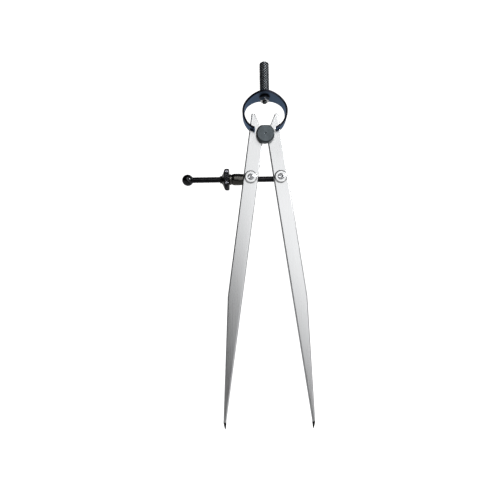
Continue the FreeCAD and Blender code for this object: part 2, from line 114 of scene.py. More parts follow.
class DividerSizes(bpy.types.PropertyGroup):
    """Sizes that the frame doesn't give by itself."""

    strip: length_property("Strip", "Thickness of the spring's strip", 1.4)
    crown_width: length_property("Crown width", "Width of the strip at the crown", 15.0)
    arm_width: length_property("Arm width", "Width of the strip along its arms", 8.5)
    arm_from: length_property("Narrowed at", "Distance from the middle at which the strip has narrowed", 12.5)
    spring_level: length_property("Spring level", "Widest level above the fulcrum", 15.0)
    shoulder_radius: length_property("Shoulders", "Radius of the shoulders' centre line", 9.9)
    lower_radius: length_property("Lower arms", "Radius of the lower arms' centre line", 13.1)
    fork_gap: length_property("Fork gap", "Gap between the fork's prongs", 3.24)
    fork_reach: length_property("Fork reach", "How far from the middle the fork's gap reaches", 7.78)
    edge_round: length_property("Edge rounding", "Rounding of sheared and turned edges", 0.22)
    leg_edge: length_property("Leg edge", "Rounding along the legs", 0.90)
    point_length: length_property("Point length", "Ground point, left without a bevel", 6.0)
    grind_length: length_property("Grind length", "Length over which a leg's end is ground thinner", 13.85)
    point_slope: length_property("Point slope", "Height over which a point's sides run in", 5.235)
    point_thickness: length_property("Point thickness", "Thickness of a leg at its very end", 0.3)
    knurl_depth: length_property("Knurl depth", "Depth of the knurls", 0.34)
    shank_over: length_property("Shank end", "How far the handle's shank stands out further", 0.3)
    knurl_rise: length_property("Knurl rise", "How far the handle's knurl stands above the bar", 0.2)
    handle_knurl_pitch: length_property("Handle knurl pitch", "Length of a diamond on the handle", 1.6)
    handle_knurl_count: IntProperty(
        name="Handle diamonds", description="Diamonds round the handle", default=12, min=6)
    rim_knurl_pitch: length_property("Rim knurl pitch", "Length of a diamond on the nut's rim", 1.3)
    rim_knurl_count: IntProperty(
        name="Rim diamonds", description="Diamonds round the nut's rim", default=36, min=12)
    thread_pitch: length_property("Thread pitch", "Pitch of the adjusting thread", 0.7)
    thread_depth: length_property("Thread depth", "Depth of the adjusting thread", 0.26)


class DividerColours(bpy.types.PropertyGroup):
    """Base colours of the finishes."""

    steel: colour_property("Steel", "Brushed steel of the legs", (0.90, 0.91, 0.92))
    turned_steel: colour_property("Turned steel", "Washers and riveted posts", (0.62, 0.63, 0.65))
    point: colour_property("Point", "Hardened points", (0.012, 0.012, 0.014))
    spring: colour_property("Spring", "Blue-black oxide of the spring", (0.095, 0.125, 0.175))
    stud: colour_property("Stud", "Grey-black oxide of the stud", (0.112, 0.13, 0.142))
    handle: colour_property("Handle", "Black oxide of the handle", (0.125, 0.135, 0.145))
    rim: colour_property("Nut", "Black oxide of the adjusting nut", (0.10, 0.10, 0.115))
    # the knurl crests' colour: partly rubbed bright by wear, partly a painted highlight
    crest_wear_and_highlight: colour_property("Crests", "Knurl crests, rubbed bright", (0.36, 0.38, 0.41))
    black: colour_property("Black", "Polished black oxide", (0.055, 0.056, 0.06))
    bright: colour_property("Bright", "Plated hexagon nut", (0.75, 0.75, 0.76))
    sheared: colour_property("Sheared edge", "Dull edges of the spring's strip", (0.012, 0.013, 0.018))
    crown_washer: colour_property("Crown washer", "Washer under the crown", (0.03, 0.03, 0.035))
    back_washer: colour_property("Back washer", "Washer behind the fulcrum", (0.05, 0.05, 0.055))
    screw: colour_property("Screw", "Black oxide of the adjusting screw", (0.045, 0.045, 0.05))
    sleeve: colour_property("Sleeve", "Grey oxide of the thrust sleeve", (0.125, 0.122, 0.112))


def sizes():
    """The scene's sizes, as a user has set them."""
    return bpy.context.scene.divider_sizes


def colours():
    """The scene's colours, as a user has set them."""
    return bpy.context.scene.divider_colours


# Meshes

def new_object(name, mesh):
    """Links a mesh to the scene, at the origin."""
    piece = bpy.data.objects.new(name, mesh)
    bpy.context.scene.collection.objects.link(piece)
    return piece


def object_from(name, bm):
    """Ends a bmesh as an object, with its faces outwards."""
    bmesh.ops.recalc_face_normals(bm, faces=bm.faces)
    mesh = bpy.data.meshes.new(name)
    bm.to_mesh(mesh)
    bm.free()
    return new_object(name, mesh)


def baked(piece):
    """Applies the piece's modifiers to its mesh."""
    evaluated = piece.evaluated_get(bpy.context.evaluated_depsgraph_get())
    mesh = bpy.data.meshes.new_from_object(evaluated)
    piece.modifiers.clear()
    piece.data = mesh
    return piece


def cut_away(piece, cutter):
    """Takes the cutter's volume out of the piece."""
    boolean = piece.modifiers.new("cut", "BOOLEAN")
    boolean.operation = "DIFFERENCE"
    boolean.solver = "EXACT"
    boolean.object = cutter
    baked(piece)
    bpy.data.objects.remove(cutter)
    return piece


def joined(name, pieces, finish):
    """One object that holds the meshes of several, in one finish."""
    bm = bmesh.new()
    for piece in pieces:
        bm.from_mesh(piece.data)
        bpy.data.objects.remove(piece)
    for face in bm.faces:
        face.material_index = 0
    mesh = bpy.data.meshes.new(name)
    bm.to_mesh(mesh)
    bm.free()
    return dressed(new_object(name, mesh), finish)


def smoothed(piece, degrees=35.0):
    """Smooth shading that keeps sharper edges, and large faces flat beside their rounded edges."""
    piece.data.shade_smooth()
    piece.data.set_sharp_from_angle(angle=math.radians(degrees))
    weighted = piece.modifiers.new("weighted", "WEIGHTED_NORMAL")
    weighted.keep_sharp = True
    weighted.weight = 90
    return baked(piece)


def dressed(piece, material):
    """Gives the piece one material in place of any others."""
    piece.data.materials.clear()
    piece.data.materials.append(material)
    return piece


def rounded(corners, radius, closed=False):
    """A profile with its corners rounded, as far as their neighbours allow."""
    found = []
    count = len(corners)
    for index, corner in enumerate(corners):
        here = Vector(corner)
        if not closed and index in (0, count - 1):
            found.append(here)
            continue
        before = Vector(corners[index - 1]) - here
        after = Vector(corners[(index + 1) % count]) - here
        reach = min(radius, before.length * CORNER_SHARE, after.length * CORNER_SHARE)
        start = here + before.normalized() * reach
        end = here + after.normalized() * reach
        for step in range(CORNER_STEPS + 1):
            share = step / CORNER_STEPS
            found.append(start.lerp(here, share).lerp(here.lerp(end, share), share))
    return found


def bridge(bm, first, second):
    """Faces from one ring of vertices to the next, either of which may be a single vertex."""
    count = max(len(first), len(second))
    for index in range(count):
        after = (index + 1) % count
        if len(first) == 1:
            bm.faces.new((first[0], second[after], second[index]))
        elif len(second) == 1:
            bm.faces.new((first[index], first[after], second[0]))
        else:
            bm.faces.new((first[index], first[after], second[after], second[index]))


AXIS_TURN = {
    "X": Matrix.Rotation(math.radians(90), 4, "Y"),
    "Y": Matrix.Rotation(math.radians(-90), 4, "X"),
    "Z": Matrix.Identity(4),
}


def turned(name, profile, centre, axis="Z", closed=False, segments=ROUND_SEGMENTS):
    """A solid turned from (radius, along) points about an axis through centre."""
    bm = bmesh.new()
    angles = [math.tau * index / segments for index in range(segments)]
    rings = []
    for radius, along in profile:
        ring = [(radius * math.cos(angle), radius * math.sin(angle), along) for angle in angles]
        if radius == 0:
            ring = [(0, 0, along)]
        rings.append([bm.verts.new(place) for place in ring])
    if closed:
        rings.append(rings[0])
    for first, second in zip(rings, rings[1:]):
        bridge(bm, first, second)
    bmesh.ops.transform(bm, matrix=Matrix.Translation(centre) @ AXIS_TURN[axis], verts=bm.verts)
    return object_from(name, bm)


def box_object(name, centre, size):
    """A plain box to cut with."""
    bm = bmesh.new()
    bmesh.ops.create_cube(bm, size=1.0)
    matrix = Matrix.Translation(centre) @ Matrix.Diagonal((*size, 1.0))
    bmesh.ops.transform(bm, matrix=matrix, verts=bm.verts)
    return object_from(name, bm)


# Geometry Nodes for what repeats

class NodeTree:
    """Short calls to build a node tree from left to right."""

    def __init__(self, tree):
        self.tree = tree

    def add(self, kind, settings=(), **inputs):
        """A node; an input is a value or another node's output."""
        node = self.tree.nodes.new(kind)
        for name, value in dict(settings).items():
            setattr(node, name, value)
        for name, value in inputs.items():
            self.feed(node.inputs[name.replace("_", " ")], value)
        return node

    def feed(self, socket, value):
        """Links or sets an input."""
        if isinstance(value, bpy.types.NodeSocket):
            self.tree.links.new(value, socket)
        else:
            socket.default_value = value

    def math(self, operation, *values):
        """One number from others."""
        node = self.add("ShaderNodeMath", {"operation": operation})
        for socket, value in zip(node.inputs, values):
            self.feed(socket, value)
        return node.outputs[0]

    def vector(self, operation, *values):
        """The outputs of a vector sum."""
        node = self.add("ShaderNodeVectorMath", {"operation": operation})
        for socket, value in zip(node.inputs, values):
            self.feed(socket, value)
        return node.outputs


def geometry_tree(name, sockets):
    """A new geometry node group with named inputs; returns its tools and its input node."""
    group = bpy.data.node_groups.new(name, "GeometryNodeTree")
    for title, kind in sockets:
        group.interface.new_socket(title, in_out="INPUT", socket_type=kind)
    group.interface.new_socket("Geometry", in_out="OUTPUT", socket_type="NodeSocketGeometry")
    tree = NodeTree(group)
    return tree, group.nodes.new("NodeGroupInput")


def end_tree(tree, inputs, geometry):
    """Realizes, sets the material and ends the tree."""
    real = tree.add("GeometryNodeRealizeInstances", Geometry=geometry)
    dressed_up = tree.add(
        "GeometryNodeSetMaterial", Geometry=real.outputs[0], Material=inputs.outputs["Material"])
    out = tree.tree.nodes.new("NodeGroupOutput")
    tree.tree.links.new(dressed_up.outputs[0], out.inputs[0])
    return tree.tree


def grown(name, group, values):
    """Runs a geometry node group with these inputs and returns its result as a plain mesh."""
    piece = new_object(name, bpy.data.meshes.new(name))
    modifier = piece.modifiers.new("grow", "NODES")
    modifier.node_group = group
    for item in group.interface.items_tree:
        if item.in_out == "INPUT" and item.name in values:
            modifier[item.identifier] = values[item.name]
    return baked(piece)


def knurl_group():
    """Truncated diamonds in staggered rows, wrapped round the Z axis."""
    known = bpy.data.node_groups.get("diamond_knurl")
    if known:
        return known
    tree, inputs = geometry_tree("diamond_knurl", [
        ("Radius", "NodeSocketFloat"), ("Depth", "NodeSocketFloat"), ("Around", "NodeSocketInt"),
        ("Pitch", "NodeSocketFloat"), ("Rows", "NodeSocketInt"), ("Start", "NodeSocketFloat"),
        ("Top", "NodeSocketFloat"), ("Flat", "NodeSocketFloat"), ("Material", "NodeSocketMaterial"),
    ])
    get = inputs.outputs
    root = tree.math("SUBTRACT", get["Radius"], get["Depth"])
    wide = tree.math("DIVIDE", tree.math("MULTIPLY", root, math.tau), get["Around"])
    number = tree.add("GeometryNodeInputIndex").outputs[0]
    row = tree.math("FLOOR", tree.math("DIVIDE", tree.math("ADD", number, 0.5), get["Around"]))
    column = tree.math("SUBTRACT", number, tree.math("MULTIPLY", row, get["Around"]))
    odd = tree.math("MULTIPLY", tree.math("MODULO", row, 2.0), 0.5)
    place = tree.add(
        "ShaderNodeCombineXYZ",
        X=tree.math("MULTIPLY", tree.math("ADD", column, odd), wide),
        Y=tree.math("MULTIPLY", row, tree.math("MULTIPLY", get["Pitch"], 0.5)),
    )
    points = tree.add(
        "GeometryNodePoints",
        Count=tree.math("MULTIPLY", get["Around"], get["Rows"]), Position=place.outputs[0])
    diamond = tree.add(
        "GeometryNodeMeshCone", Vertices=4, Radius_Top=get["Flat"], Radius_Bottom=0.5, Depth=1.0)
    size = tree.add("ShaderNodeCombineXYZ", X=wide, Y=get["Pitch"], Z=get["Depth"])
    placed = tree.add(
        "GeometryNodeInstanceOnPoints",
        Points=points.outputs[0], Instance=diamond.outputs["Mesh"], Scale=size.outputs[0])
    real = tree.add("GeometryNodeRealizeInstances", Geometry=placed.outputs[0])
    flat = tree.add("ShaderNodeSeparateXYZ", Vector=tree.add("GeometryNodeInputPosition").outputs[0])
    angle = tree.math("DIVIDE", flat.outputs["X"], root)
    along = tree.math("ADD", flat.outputs["Y"], get["Start"])
    # near the top the diamonds are cut down by the end's chamfer
    chamfer = tree.math("ADD", tree.math("SUBTRACT", get["Top"], along), root)
    radius = tree.math("MINIMUM", tree.math("ADD", flat.outputs["Z"], root), chamfer)
    bent = tree.add(
        "ShaderNodeCombineXYZ",
        X=tree.math("MULTIPLY", radius, tree.math("COSINE", angle)),
        Y=tree.math("MULTIPLY", radius, tree.math("SINE", angle)),
        Z=along,
    )
    wrapped = tree.add("GeometryNodeSetPosition", Geometry=real.outputs[0], Position=bent.outputs[0])
    return end_tree(tree, inputs, wrapped.outputs[0])


# widths of the thread's ridge, as shares of its pitch
THREAD_FOOT = 0.86
THREAD_CREST = 0.50


def thread_group():
    """A right-handed thread ridge along the Z axis."""
    tree, inputs = geometry_tree("thread_ridge", [
        ("Radius", "NodeSocketFloat"), ("Depth", "NodeSocketFloat"), ("Pitch", "NodeSocketFloat"),
        ("Turns", "NodeSocketFloat"), ("Material", "NodeSocketMaterial"),
    ])
    get = inputs.outputs
    mid = tree.math("SUBTRACT", get["Radius"], tree.math("MULTIPLY", get["Depth"], 0.5))
    helix = tree.add(
        "GeometryNodeCurveSpiral", Resolution=32, Rotations=get["Turns"], Start_Radius=mid,
        End_Radius=mid, Height=tree.math("MULTIPLY", get["Turns"], get["Pitch"]))
    upright = tree.add("GeometryNodeSetCurveNormal", {"mode": "Z_UP"}, Curve=helix.outputs[0])
    section = tree.add(
        "GeometryNodeCurvePrimitiveQuadrilateral", {"mode": "TRAPEZOID"},
        Height=get["Depth"],
        Bottom_Width=tree.math("MULTIPLY", get["Pitch"], THREAD_FOOT),
        Top_Width=tree.math("MULTIPLY", get["Pitch"], THREAD_CREST),
        Offset=0.0)
    outwards = tree.add(
        "GeometryNodeTransform", Geometry=section.outputs[0], Rotation=(0, 0, math.radians(90)))
    swept = tree.add(
        "GeometryNodeCurveToMesh", Curve=upright.outputs[0], Profile_Curve=outwards.outputs[0],
        Fill_Caps=True)
    return end_tree(tree, inputs, swept.outputs[0])


# Materials

def new_metal(name, colour, roughness):
    """A plain metal; returns it with its tools and its shader."""
    material = bpy.data.materials.new(name)
    material.use_nodes = True
    tree = NodeTree(material.node_tree)
    shader = material.node_tree.nodes["Principled BSDF"]
    shader.inputs["Base Color"].default_value = (*colour, 1.0)
    shader.inputs["Metallic"].default_value = 1.0
    shader.inputs["Roughness"].default_value = roughness
    return material, tree, shader


def object_place(tree, scale=(1, 1, 1), rotation=(0, 0, 0), location=(0, 0, 0)):
    """Object coordinates, moved, turned and scaled."""
    mapping = tree.add(
        "ShaderNodeMapping", Vector=tree.add("ShaderNodeTexCoord").outputs["Object"],
        Location=location, Rotation=rotation, Scale=scale)
    return mapping.outputs[0]


def ramp(tree, factor, stops):
    """A colour ramp from (position, grey or colour) stops."""
    node = tree.add("ShaderNodeValToRGB", Fac=factor)
    elements = node.color_ramp.elements
    while len(elements) < len(stops):
        elements.new(0.5)
    for element, (position, colour) in zip(elements, stops):
        element.position = position
        shade = (colour,) * 3 if isinstance(colour, (int, float)) else colour
        element.color = (*shade, 1.0)
    return node.outputs[0]


def noise(tree, scale, detail=3.0, rotation=(0, 0, 0), roughness=0.5):
    """A noise over Object coordinates; scale says how fine it is along each axis."""
    place = object_place(tree, scale, rotation)
    return tree.add(
        "ShaderNodeTexNoise", Vector=place, Scale=1.0, Detail=detail, Roughness=roughness).outputs[0]


def swung(tree, noise_value, spread, level):
    """A level that a noise swings by up to half the spread either way."""
    return tree.math("MULTIPLY_ADD", tree.math("SUBTRACT", noise_value, 0.5), spread, level)


def mixed(tree, share, first, second, blend="MIX"):
    """Two colours, from sockets or as plain values, mixed as far as share says."""
    mix = tree.add("ShaderNodeMix", {"data_type": "RGBA", "blend_type": blend})
    for index, value in ((0, share), (6, first), (7, second)):
        tree.feed(mix.inputs[index], value)
    return mix.outputs[2]


def shaded(colour, factor):
    """A colour made darker or lighter."""
    return [min(1.0, part * factor) for part in colour]


def varied(tree, shader, noise_value, colour, spread, roughness):
    """Lets a noise change colour and roughness a little, about their middle values."""
    stops = [(0.25, shaded(colour, 1 - spread)), (0.75, shaded(colour, 1 + spread))]
    tree.feed(shader.inputs["Base Color"], ramp(tree, noise_value, stops))
    tree.feed(shader.inputs["Roughness"], swung(tree, noise_value, 0.20, roughness))


def bumped(tree, shader, height, strength, distance):
    """Gives the shader a fine relief."""
    bump = tree.add("ShaderNodeBump", Strength=strength, Distance=distance, Height=height)
    tree.feed(shader.inputs["Normal"], bump.outputs[0])


def brushed_steel(name, colour, side):
    """Steel brushed along a leg, with its hardened point dark."""
    material, tree, shader = new_metal(name, colour, 0.30)
    lean = math.atan2(LEG_TIP.x, FULCRUM.z)
    streaks = noise(tree, (2600, 2600, 26), 4.0, (0, side * lean, 0), 0.6)
    cloud = noise(tree, (90, 90, 40))
    both = tree.math("MULTIPLY_ADD", streaks, 0.7, tree.math("MULTIPLY", cloud, 0.3))
    tree.feed(shader.inputs["Roughness"], swung(tree, both, 0.28, 0.29))
    pale = ramp(tree, both, [(0.3, shaded(colour, 0.90)), (0.7, shaded(colour, 1.05))])
    # the hardened point ends at an uneven line
    height = tree.add("ShaderNodeSeparateXYZ", Vector=object_place(tree)).outputs["Z"]
    reach = 8.0 * MM
    share = tree.math("DIVIDE", tree.math("MULTIPLY_ADD", cloud, 0.1 * reach, height), reach)
    above = ramp(tree, share, [(0.66, 0.0), (0.70, 1.0)])
    tree.feed(shader.inputs["Base Color"], mixed(tree, above, (*colours().point, 1.0), pale))
    bumped(tree, shader, streaks, 0.10, 0.02 * MM)
    return material


def turned_metal(name, colour, centre, roughness, strength, pitch, spread):
    """Metal turned about an axis along Y through centre: fine rings in colour, roughness and height."""
    material, tree, shader = new_metal(name, colour, roughness)
    place = object_place(tree, location=(-centre.x, 0, -centre.z))
    here = tree.add("ShaderNodeSeparateXYZ", Vector=place).outputs
    radius = tree.math("SQRT", tree.math(
        "ADD", tree.math("POWER", here["X"], 2.0), tree.math("POWER", here["Z"], 2.0)))
    drift = tree.math(
        "MULTIPLY_ADD", noise(tree, (420, 420, 420)), 0.9, tree.math("DIVIDE", radius, pitch))
    rings = tree.add(
        "ShaderNodeTexNoise", {"noise_dimensions": "1D"}, W=drift, Scale=1.0, Detail=2.0).outputs[0]
    varied(tree, shader, rings, colour, spread, roughness)
    bumped(tree, shader, rings, strength, 0.04 * MM)
    # the tool marks run round the axis
    along = tree.vector("CROSS_PRODUCT", (0, 1, 0), place)["Vector"]
    tree.feed(shader.inputs["Tangent"], tree.vector("NORMALIZE", along)["Vector"])
    shader.inputs["Anisotropic"].default_value = 0.55
    return material


def oxide(name, colour, roughness, spread=0.18, strength=0.08):
    """Chemical black on steel: cloudy in colour and gloss, with a fine tooth."""
    material, tree, shader = new_metal(name, colour, roughness)
    cloud = noise(tree, (220, 220, 220), 4.0)
    tooth = noise(tree, (3600, 3600, 3600))
    varied(tree, shader, cloud, colour, spread, roughness)
    bumped(tree, shader, tooth, strength, 0.02 * MM)
    return material


def worn_oxide_with_painted_light(name, colour, crest_wear_and_highlight, axis, centre, tip, depth, roughness):
    """Black oxide on a knurl that runs round an axis through centre, with painted light: lighter on the
    crests, partly wear and partly a painted highlight, and darker towards the roots, a painted shade in the
    grooves.
    """
    material, tree, shader = new_metal(name, colour, roughness)
    across = [0.0 if letter == axis else 1.0 for letter in "XYZ"]
    here = tree.vector("MULTIPLY", object_place(tree, location=tuple(-centre)), across)["Vector"]
    radius = tree.vector("LENGTH", here)["Value"]
    cloud = noise(tree, (520, 520, 520))
    height = tree.math("DIVIDE", tree.math("SUBTRACT", radius, tip - depth), depth)
    # darker towards the knurl's roots as painted shade in the grooves; lighter on the crests as wear and a
    # painted highlight
    stops = [(0.35, shaded(colour, 0.30)), (0.7, colour), (0.98, crest_wear_and_highlight)]
    tree.feed(shader.inputs["Base Color"], ramp(tree, swung(tree, cloud, 0.7, height), stops))
    tree.feed(shader.inputs["Roughness"], swung(tree, cloud, 0.2, roughness))
    return material


def spring_oxide():
    """Blue-black oxide, drawn along the strip, with dull dark sheared edges."""
    colour, roughness = tuple(colours().spring), 0.36
    material, tree, shader = new_metal("spring_oxide", colour, roughness)
    shader.inputs["Specular Tint"].default_value = (0.60, 0.75, 1.0, 1.0)
    drawn = noise(tree, (60, 2400, 60))
    cloud = noise(tree, (160, 160, 160), 4.0)
    both = tree.math("MULTIPLY_ADD", drawn, 0.45, tree.math("MULTIPLY", cloud, 0.55))
    blue = ramp(tree, both, [(0.3, shaded(colour, 0.75)), (0.7, shaded(colour, 1.2))])
    # the strip's edges are the faces that look forwards and back
    face = tree.add("ShaderNodeSeparateXYZ", Vector=tree.add("ShaderNodeNewGeometry").outputs["Normal"])
    sheared = ramp(tree, tree.math("ABSOLUTE", face.outputs["Y"]), [(0.35, 0.0), (0.8, 1.0)])
    tree.feed(shader.inputs["Base Color"], mixed(tree, sheared, blue, (*colours().sheared, 1.0)))
    tree.feed(shader.inputs["Roughness"], swung(tree, both, 0.22, roughness))
    bumped(tree, shader, drawn, 0.10, 0.02 * MM)
    return material


# Pieces

def finish_piece(piece, body, slot, *nodes):
    """The piece stands for its CAD nodes and rides on their body; the slot is not used."""
    if nodes:
        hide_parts(*nodes)
    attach(piece, body)
    return piece


class PieceOperator:
    """What the piece operators share."""

    bl_options = {"REGISTER", "UNDO"}

    def execute(self, context):
        self.build(context)
        return {"FINISHED"}


# steps along the centre line of half the spring
CROWN_STEPS = 18
SHOULDER_STEPS = 30
ARM_STEPS = 44


def spring_stations():
    """Centre line of the right half from the crown to the end: (point, outward normal)."""
    size = sizes()
    high = BOXES["bow_spring"][1]
    reach = high.x - size.strip / 2
    rise = high.z - FULCRUM.z - size.spring_level - size.strip / 2
    shoulder = size.shoulder_radius
    shoulder_x = reach - shoulder
    crown = (shoulder_x ** 2 + rise ** 2 - shoulder ** 2) / (2 * (rise - shoulder))
    crown_centre = Vector((0, 0, rise - crown))
    join = math.atan2(shoulder_x, crown - rise)
    low_centre = Vector((reach - size.lower_radius, 0, 0))
    bottom = BOXES["bow_spring"][0].z - FULCRUM.z + size.strip / 2
    # the last angle puts the outer corner of the end on the CAD's lowest level
    drop = (size.spring_level - bottom + size.strip / 2) / (size.lower_radius + size.strip / 2)
    last = math.pi - math.acos(min(1.0, drop))
    stations = []

    def sweep(centre, radius, start, end, steps):
        for step in range(steps + 1):
            angle = start + (end - start) * step / steps
            normal = Vector((math.sin(angle), 0, math.cos(angle)))
            stations.append((centre + normal * radius, normal))

    sweep(crown_centre, crown, 0.0, join, CROWN_STEPS)
    stations.pop()
    sweep(Vector((shoulder_x, 0, 0)), shoulder, join, math.pi / 2, SHOULDER_STEPS)
    stations.pop()
    sweep(low_centre, size.lower_radius, math.pi / 2, last, ARM_STEPS)
    lift = Vector((0, 0, FULCRUM.z + size.spring_level))
    return [(point + lift, normal) for point, normal in stations]


def strip_section(width, thick, edge):
    """Corners of the strip's section as (y, offset from the centre line), rounded."""
    half, deep = width / 2, thick / 2
    return rounded([(-half, -deep), (half, -deep), (half, deep), (-half, deep)], edge, True)


# how gently the strip's two edges turn at the crown; 0 would leave a peak there
CROWN_EASE = 0.12


class DIVIDER_OT_bow_spring(PieceOperator, bpy.types.Operator):
    """Bends the bow spring as two halves"""

    bl_idname = "divider.bow_spring"
    bl_label = "Bow Spring"

    def build(self, context):
        size = sizes()
        finish = spring_oxide()
        stations = spring_stations()
        crown, end = stations[0][0].z, stations[-1][0].z
        shank_bore = SHANK_RADIUS + 0.1 * MM
        through, fork_cut = 3 * MM, 8 * MM
        for side, name, leg in ((1, "bow_spring_right", "right_leg"), (-1, "bow_spring_left", "left_leg")):
            piece = self.half(name, stations, size, side)
            # the fork straddles the leg inwards of the leg's notch
            cut_away(piece, box_object(
                "fork_cutter", Vector((side * size.fork_reach / 2, 0, end)),
                Vector((size.fork_reach, size.fork_gap, fork_cut))))
            cut_away(piece, turned(
                "shank_cutter",
                [(0, -through), (shank_bore, -through), (shank_bore, through), (0, through)],
                Vector((0, 0, crown))))
            dressed(smoothed(piece), finish)
            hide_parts("bow_spring")
            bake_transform(piece)

    def half(self, name, stations, size, side):
        """Half of the strip, swept from the crown to the end of an arm."""
        bm = bmesh.new()
        rings = []
        for point, normal in stations:
            ring = []
            for across, offset in strip_section(self.width_at(point.x, size), size.strip, size.edge_round):
                place = point + normal * offset
                ring.append(bm.verts.new((side * place.x, across, place.z)))
            rings.append(ring)
        for first, second in zip(rings, rings[1:]):
            bridge(bm, first, second)
        bm.faces.new(rings[0])
        bm.faces.new(rings[-1])
        return object_from(name, bm)

    def width_at(self, distance, size):
        """Width of the strip at this distance from the middle: widest at the crown."""
        share = min(1.0, distance / size.arm_from)
        share = (math.hypot(share, CROWN_EASE) - CROWN_EASE) / (math.hypot(1, CROWN_EASE) - CROWN_EASE)
        return size.crown_width + (size.arm_width - size.crown_width) * share


class DIVIDER_OT_handle(PieceOperator, bpy.types.Operator):
    """Turns the handle and rolls its diamond knurl"""

    bl_idname = "divider.handle"
    bl_label = "Knurled Handle"

    def build(self, context):
        size = sizes()
        low, high = BOXES["handle"]
        crown = BOXES["bow_spring"][1].z
        # rolling a knurl raises its diamonds a little above the bar
        radius = high.x + size.knurl_rise
        root = radius - size.knurl_depth
        # this finish paints shade into the knurl's roots and a highlight onto its crests, beside the crests'
        # wear
        finish = worn_oxide_with_painted_light(
            "handle_oxide", tuple(colours().handle), tuple(colours().crest_wear_and_highlight), "Z", Vector(), radius,
            size.knurl_depth, 0.26)
        shank, core = SHANK_RADIUS, root + 0.02 * MM
        end = low.z - size.shank_over
        knurl_from = crown + 0.1 * MM
        grip = turned("handle_core", [
            (0, end), (shank - 0.2 * MM, end), (shank, end + 0.25 * MM), (shank, crown),
            (root, crown), (core, knurl_from), (core, high.z - 1.1 * MM),
            (root - 0.05 * MM, high.z - 0.7 * MM), (root - 0.75 * MM, high.z - 0.15 * MM),
            (0.55 * MM, high.z), (0, high.z),
        ], Vector())
        pitch = size.handle_knurl_pitch
        rows = int((high.z - crown - 0.2 * MM) / (pitch / 2)) - 1
        knurl = grown("handle_knurl", knurl_group(), {
            "Radius": radius, "Depth": size.knurl_depth, "Around": size.handle_knurl_count,
            "Pitch": pitch, "Rows": rows, "Start": knurl_from + pitch / 2,
            "Top": high.z - 0.25 * MM, "Flat": 0.20, "Material": finish,
        })
        piece = smoothed(joined("handle_grip", [grip, knurl], finish))
        finish_piece(piece, "head", "handle_oxide", "handle")


class DIVIDER_OT_handle_fastening(PieceOperator, bpy.types.Operator):
    """Makes the washer and the hexagon nut under the crown"""

    bl_idname = "divider.handle_fastening"
    bl_label = "Handle Washer and Nut"

    def build(self, context):
        low, high = BOXES["handle_washer"]
        ring = [(SHANK_RADIUS, low.z), (high.x, low.z), (high.x, high.z), (SHANK_RADIUS, high.z)]
        washer = turned("crown_washer", rounded(ring, 0.12 * MM, True), Vector(), closed=True)
        dressed(smoothed(washer), oxide("handle_washer_oxide", tuple(colours().crown_washer), 0.4))
        finish_piece(washer, "head", "handle_washer_oxide", "handle_washer")

        nut = self.hexagon_nut(*BOXES["handle_nut"])
        dressed(smoothed(nut, 25), oxide("bright_nut", tuple(colours().bright), 0.22, spread=0.25))
        finish_piece(nut, "head", "bright_nut", "handle_nut")

    def hexagon_nut(self, low, high):
        """A hexagon nut with flats to the left and right, its corners chamfered at both faces."""
        apothem = high.x
        face_radius = apothem * 0.94
        slope = math.tan(math.radians(30))
        steps = 60  # round the nut, so that some fall on each corner
        bm = bmesh.new()
        ends = []
        for level, inwards in ((low.z, 1), (high.z, -1)):
            hole, face, outline = [], [], []
            for step in range(steps):
                angle = math.tau * step / steps
                from_flat = (angle + math.pi / 6) % (math.pi / 3) - math.pi / 6
                across = apothem / math.cos(from_flat)
                drop = inwards * max(0.0, across - face_radius) * slope
                for ring, radius, height in (
                        (hole, SHANK_RADIUS, level), (face, face_radius, level),
                        (outline, across, level + drop)):
                    ring.append(bm.verts.new((radius * math.cos(angle), radius * math.sin(angle), height)))
            bridge(bm, hole, face)
            bridge(bm, face, outline)
            ends.append((hole, outline))
        for first, second in zip(*ends):
            bridge(bm, first, second)
        return object_from("hexagon_nut", bm)


FULCRUM_SHANK = 2.5 * MM  # radius of the stud where its washer sits


class DIVIDER_OT_fulcrum(PieceOperator, bpy.types.Operator):
    """Turns the fulcrum stud and its back washer"""

    bl_idname = "divider.fulcrum"
    bl_label = "Fulcrum Stud and Washer"

    def build(self, context):
        self.stud()
        self.washer()

    def stud(self):
        """The stud: a turned head with a flat above, a hub in the legs' plane and a riveted end."""
        low, high = BOXES["fulcrum_stud"]
        front, back = low.y, BOXES["fulcrum_washer"][1].y
        head = high.x - FULCRUM.x
        hub, shank = 4.0 * MM, FULCRUM_SHANK
        profile = [
            (0, front + 0.45 * MM), (0.35 * MM, front + 0.12 * MM), (0.75 * MM, front),
            (head - 0.85 * MM, front), (head, front + 0.7 * MM), (head, -SEAT), (hub, -SEAT),
            (hub, SEAT), (shank, SEAT), (shank, back), (2.95 * MM, back + 0.02 * MM),
            (2.6 * MM, back + 0.6 * MM), (1.1 * MM, high.y), (0.5 * MM, high.y - 0.15 * MM),
            (0, high.y - 0.4 * MM),
        ]
        piece = turned(
            "fulcrum_stud_turned", rounded(profile, 0.14 * MM), FULCRUM, "Y", segments=FINE_SEGMENTS)
        wide, deep = 20 * MM, 10 * MM
        cut_away(piece, box_object(
            "flat_cutter", Vector((FULCRUM.x, front, high.z + deep / 2)), Vector((wide, wide, deep))))
        finish = turned_metal(
            "stud_oxide", tuple(colours().stud), FULCRUM,
            roughness=0.34, strength=0.35, pitch=0.22 * MM, spread=0.28)
        dressed(smoothed(piece), finish)
        finish_piece(piece, "head", "stud_oxide", "fulcrum_stud")

    def washer(self):
        """The washer that the stud's end is riveted over."""
        low, high = BOXES["fulcrum_washer"]
        ring = rounded([
            (FULCRUM_SHANK, low.y), (high.x, low.y), (high.x, high.y - 0.2 * MM),
            (high.x - 0.25 * MM, high.y), (FULCRUM_SHANK, high.y),
        ], 0.12 * MM, True)
        piece = turned("fulcrum_back_washer", ring, FULCRUM, "Y", True)
        finish = turned_metal(
            "back_washer_oxide", tuple(colours().back_washer), FULCRUM,
            roughness=0.38, strength=0.2, pitch=0.2 * MM, spread=0.12)
        dressed(smoothed(piece), finish)
        finish_piece(piece, "head", "back_washer_oxide", "fulcrum_washer")


